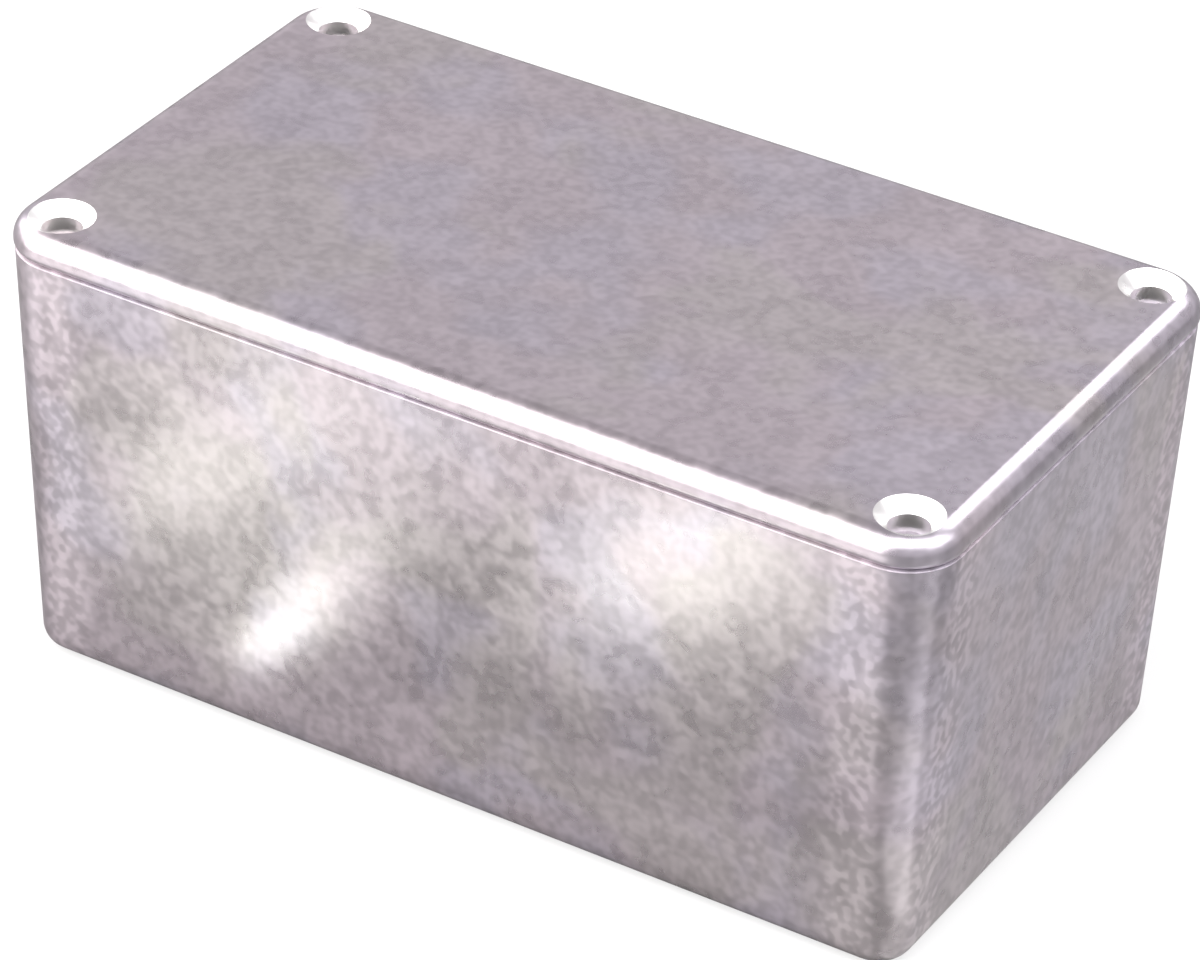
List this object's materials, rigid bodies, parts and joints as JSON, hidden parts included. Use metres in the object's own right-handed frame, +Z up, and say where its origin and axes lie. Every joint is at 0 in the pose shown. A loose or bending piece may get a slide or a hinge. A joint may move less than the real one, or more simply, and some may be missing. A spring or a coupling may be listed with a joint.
{
  "type": "die cast aluminium box",
  "caption": "Rectangular die cast aluminium enclosure with drafted walls, screw bosses and board guides inside, and a flat lid with round edges and countersunk corner holes.",
  "frame": {"origin": "centre of the flat underside, on the surface that the box stands on", "axes": "+X along the length, +Y across the width, +Z up out of the box through the lid"},
  "size_m": [0.115, 0.0644, 0.055],
  "materials": {
    "body_casting": "bare as-cast aluminium, satin, tumbled",
    "lid_casting": "bare as-cast aluminium, satin, tumbled"
  },
  "bodies": {
    "root": {"body": "body_casting", "lid": "lid_casting"}
  },
  "joints": []
}
